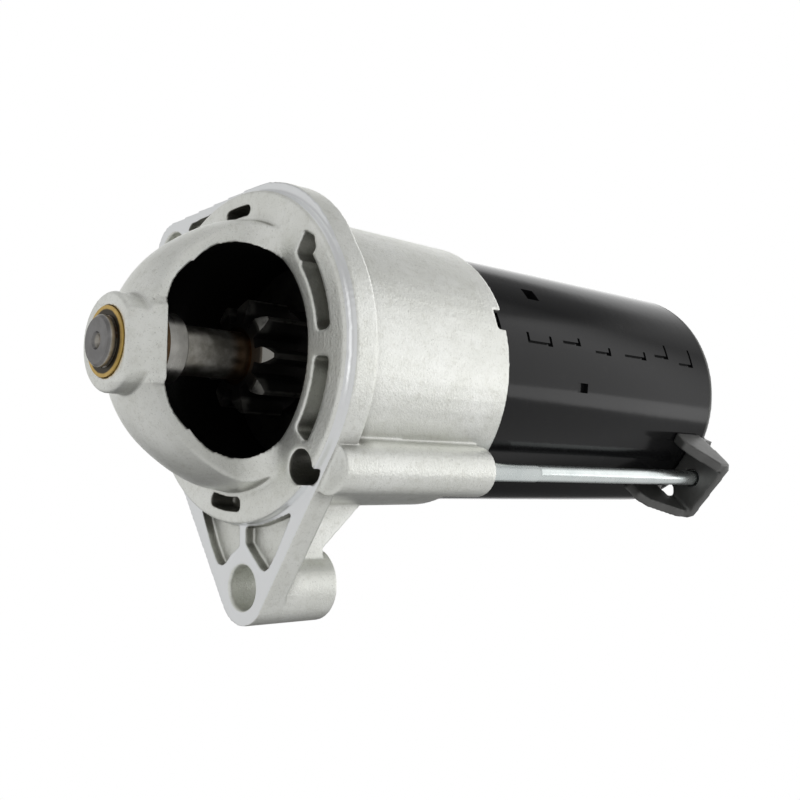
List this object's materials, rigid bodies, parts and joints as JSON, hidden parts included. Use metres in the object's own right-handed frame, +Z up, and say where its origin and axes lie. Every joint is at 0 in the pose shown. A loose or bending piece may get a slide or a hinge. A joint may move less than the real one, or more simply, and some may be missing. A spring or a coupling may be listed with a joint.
{
  "type": "starter motor",
  "caption": "Engine starter motor with open-window nose, pinion on a roller clutch, planetary reduction, side solenoid with shift fork and a two-ear flange.",
  "frame": {"origin": "centre of the pilot, in the plane of the flange face", "axes": "+X along the shaft towards the rear of the motor, +Z up, away from the long lower ear, solenoid on the +Y side"},
  "size_m": [0.2024, 0.1397, 0.1093],
  "materials": {
    "cast_aluminium": "as-cast, matt",
    "black_paint": "black, semi-gloss",
    "grey_steel": "dark grey, satin",
    "zinc_steel": "bright zinc plate",
    "machined_steel": "ground",
    "dark_steel": "oiled, dark",
    "spring_steel": "spring wire",
    "bronze": "sintered bronze",
    "copper": "copper",
    "laminated_steel": "stacked laminations",
    "ferrite": "matt ceramic magnet",
    "carbon": "pressed carbon",
    "brass_plate": "stamped",
    "black_plastic": "moulded, glass filled",
    "black_rubber": "matt rubber"
  },
  "bodies": {
    "root": {"drive_housing": "cast_aluminium", "yoke_tube": "black_paint", "solenoid_case": "black_paint", "rear_end_frame": "grey_steel", "through_bolts": "zinc_steel", "bolt_washers": "zinc_steel", "end_frame_screws": "zinc_steel", "solenoid_screws": "zinc_steel", "terminal_nuts": "zinc_steel", "terminal_washer": "zinc_steel", "fork_pivot_pin": "machined_steel", "centre_plate": "dark_steel", "gear_cover_plate": "dark_steel", "solenoid_core": "dark_steel", "ring_gear": "dark_steel", "brush_springs": "spring_steel", "return_spring": "spring_steel", "magnet_clips": "spring_steel", "nose_bush": "bronze", "centre_bush": "bronze", "rear_bush": "bronze", "nose_thrust_washer": "copper", "battery_stud": "copper", "motor_stud": "copper", "solenoid_coil": "copper", "magnets": "ferrite", "brushes": "carbon", "brush_boxes": "brass_plate", "lead_terminal": "brass_plate", "trigger_terminal": "brass_plate", "solenoid_cap": "black_plastic", "brush_plate": "black_plastic", "solenoid_bobbin": "black_plastic", "lead_grommet": "black_rubber", "motor_lead": "black_rubber"},
    "armature": {"armature_shaft": "machined_steel", "armature_core": "laminated_steel", "armature_winding": "copper", "commutator": "copper"},
    "output_shaft": {"drive_shaft": "machined_steel", "stop_collar": "machined_steel", "stop_snap_ring": "machined_steel", "planet_carrier": "dark_steel", "planet_pins": "machined_steel"},
    "planet_1": {"planet_gear_1": "machined_steel"},
    "planet_2": {"planet_gear_2": "machined_steel"},
    "planet_3": {"planet_gear_3": "machined_steel"},
    "clutch": {"clutch_shell": "dark_steel", "clutch_cover": "dark_steel", "clutch_rollers": "machined_steel", "clutch_springs": "spring_steel"},
    "pinion": {"pinion": "machined_steel", "pinion_bush": "bronze"},
    "fork": {"shift_fork": "black_plastic"},
    "plunger": {"plunger": "machined_steel"},
    "contact": {"contact_rod": "black_plastic", "contact_disc": "copper"}
  },
  "joints": [
    {"name": "armature_spin", "type": "hinge", "parent": "root", "child": "armature", "pos_m": [0, 0, 0], "axis": [1, 0, 0], "continuous": true},
    {"name": "output_spin", "type": "hinge", "parent": "root", "child": "output_shaft", "pos_m": [0, 0, 0], "axis": [1, 0, 0], "continuous": true},
    {"name": "planet_1_spin", "type": "hinge", "parent": "output_shaft", "child": "planet_1", "pos_m": [0.0625, 0, 0.01725], "axis": [1, 0, 0], "continuous": true},
    {"name": "planet_2_spin", "type": "hinge", "parent": "output_shaft", "child": "planet_2", "pos_m": [0.0625, -0.01494, -0.00863], "axis": [1, 0, 0], "continuous": true},
    {"name": "planet_3_spin", "type": "hinge", "parent": "output_shaft", "child": "planet_3", "pos_m": [0.0625, 0.01494, -0.00863], "axis": [1, 0, 0], "continuous": true},
    {"name": "plunger_slide", "type": "slide", "parent": "root", "child": "plunger", "axis": [1, 0, 0], "range_m": [0, 0.0105], "stiffness_N_per_m": 1500, "springref_m": -0.02, "deforming": ["return_spring"]},
    {"name": "clutch_slide", "type": "slide", "parent": "output_shaft", "child": "clutch", "axis": [-1, 0, 0], "range_m": [0, 0.0175]},
    {"name": "fork_swing", "type": "hinge", "parent": "root", "child": "fork", "pos_m": [0.0335, 0.03875, 0], "axis": [0, 0, -1], "range_deg": [0, 26.11]},
    {"name": "contact_slide", "type": "slide", "parent": "root", "child": "contact", "axis": [1, 0, 0], "range_m": [0, 0.0021]},
    {"name": "pinion_freewheel", "type": "hinge", "parent": "clutch", "child": "pinion", "pos_m": [0, 0, 0], "axis": [1, 0, 0], "continuous": true}
  ],
  "couplings": [
    {"joint": "output_spin", "follows": "armature_spin", "ratio": 0.2},
    {"joint": "planet_1_spin", "follows": "armature_spin", "ratio": -0.53333},
    {"joint": "planet_2_spin", "follows": "armature_spin", "ratio": -0.53333},
    {"joint": "planet_3_spin", "follows": "armature_spin", "ratio": -0.53333},
    {"joint": "clutch_slide", "follows": "plunger_slide", "ratio": 1.6667},
    {"joint": "fork_swing", "follows": "plunger_slide", "rad_per_m": 43.385},
    {"joint": "contact_slide", "follows": "plunger_slide", "ratio": 0.2}
  ]
}
